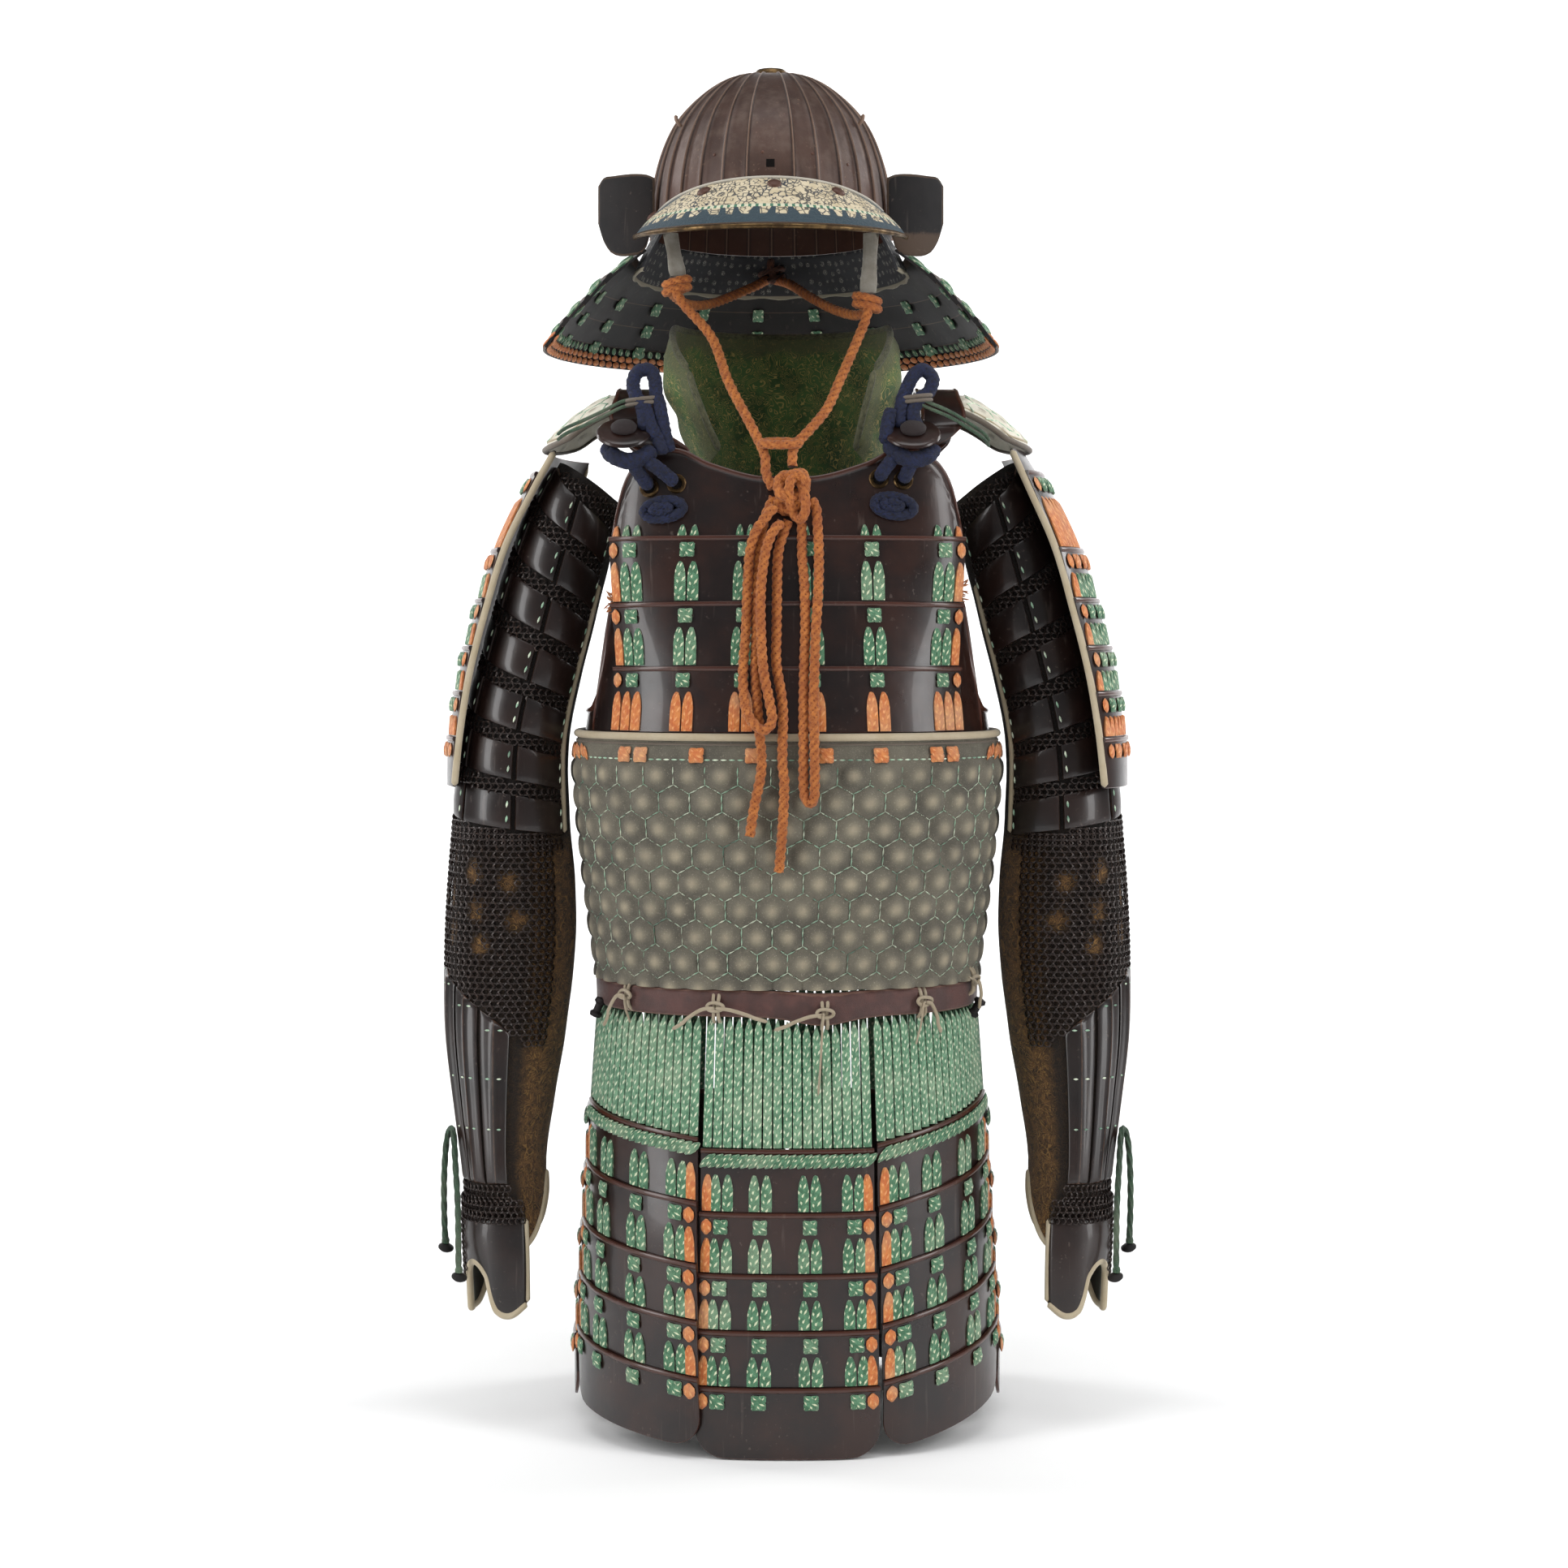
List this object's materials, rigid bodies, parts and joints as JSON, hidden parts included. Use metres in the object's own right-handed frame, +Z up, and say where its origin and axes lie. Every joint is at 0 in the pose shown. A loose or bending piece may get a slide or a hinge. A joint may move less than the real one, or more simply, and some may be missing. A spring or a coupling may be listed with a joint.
{
  "type": "lamellar armour",
  "caption": "Laced plate armour in its worn pose with no wearer: ribbed helmet, padded collar, cuirass with quilted belly, laced skirt, shoulder guards and armoured sleeves.",
  "frame": {"origin": "middle of the wearer's shoulders, where the cuirass is carried", "axes": "+Z up, +X to the right of a person who faces the armour, front towards -Y"},
  "size_m": [0.5918, 0.3707, 1.1529],
  "materials": {
    "russet_iron": "russet lacquered iron, satin, rubbed along the ridges",
    "brass": "aged brass",
    "printed_leather": "pale printed leather with a blue ground and a stitched edge",
    "sprigged_leather": "dark leather with small pale sprigs",
    "loop_leather": "worn pale leather",
    "chin_cord": "twisted orange-brown cord",
    "collar_brocade": "dark green brocade with fine gold scrolls",
    "quilted_leather": "grey-brown quilted leather, worn pale on each dome, green-white stitching",
    "belt_leather": "brown leather",
    "green_lace": "flat braided lace, green with pale flecks",
    "wing_leather": "cream leather stitched in hexagons, dark edge",
    "sleeve_brocade": "worn brown brocade",
    "mail": "blackened iron mail and lacquered plates",
    "green_cord": "round green braid",
    "black_lacquer": "glossy brown-black lacquer on iron and hide plates"
  },
  "bodies": {
    "root": {"helmet_bowl": "russet_iron", "crown_ring": "brass", "helmet_peak": "printed_leather", "ear_left": "black_lacquer", "ear_right": "black_lacquer", "lining_band": "sprigged_leather", "neck_guard": "black_lacquer", "cord_loop_left": "loop_leather", "cord_loop_right": "loop_leather", "chin_cord_left": "chin_cord", "chin_cord_right": "chin_cord", "chin_cord_knot": "chin_cord", "chin_cord_loop_left": "chin_cord", "chin_cord_tail_left": "chin_cord", "chin_cord_tail_middle": "chin_cord", "chin_cord_loop_right": "chin_cord", "collar": "collar_brocade", "chest_plate": "black_lacquer", "chest_lame_1": "black_lacquer", "chest_lame_2": "black_lacquer", "chest_lame_3": "black_lacquer", "back_plate": "black_lacquer", "back_lames": "black_lacquer", "side_plate_left": "black_lacquer", "side_plate_right": "black_lacquer", "belly_front": "quilted_leather", "belly_back": "quilted_leather", "waist_belt": "belt_leather", "laces_front": "green_lace", "tasset_front": "black_lacquer", "laces_front_right": "green_lace", "tasset_front_right": "black_lacquer", "laces_side_right": "green_lace", "tasset_side_right": "black_lacquer", "laces_back_right": "green_lace", "tasset_back_right": "black_lacquer", "laces_back_left": "green_lace", "tasset_back_left": "black_lacquer", "laces_side_left": "green_lace", "tasset_side_left": "black_lacquer", "laces_front_left": "green_lace", "tasset_front_left": "black_lacquer", "shoulder_strap_left": "black_lacquer", "shoulder_strap_right": "black_lacquer", "shoulder_wing_left": "wing_leather", "shoulder_wing_right": "wing_leather", "toggle_left": "black_lacquer", "toggle_right": "black_lacquer", "shoulder_guard_left": "black_lacquer", "shoulder_guard_right": "black_lacquer", "sleeve_cloth_left": "sleeve_brocade", "sleeve_cloth_right": "sleeve_brocade", "sleeve_upper_left": "mail", "sleeve_upper_right": "mail", "forearm_splints_left": "black_lacquer", "forearm_splints_right": "black_lacquer", "hand_guard_left": "black_lacquer", "hand_guard_right": "black_lacquer", "wrist_cord_left": "green_cord", "wrist_cord_right": "green_cord"}
  },
  "joints": []
}
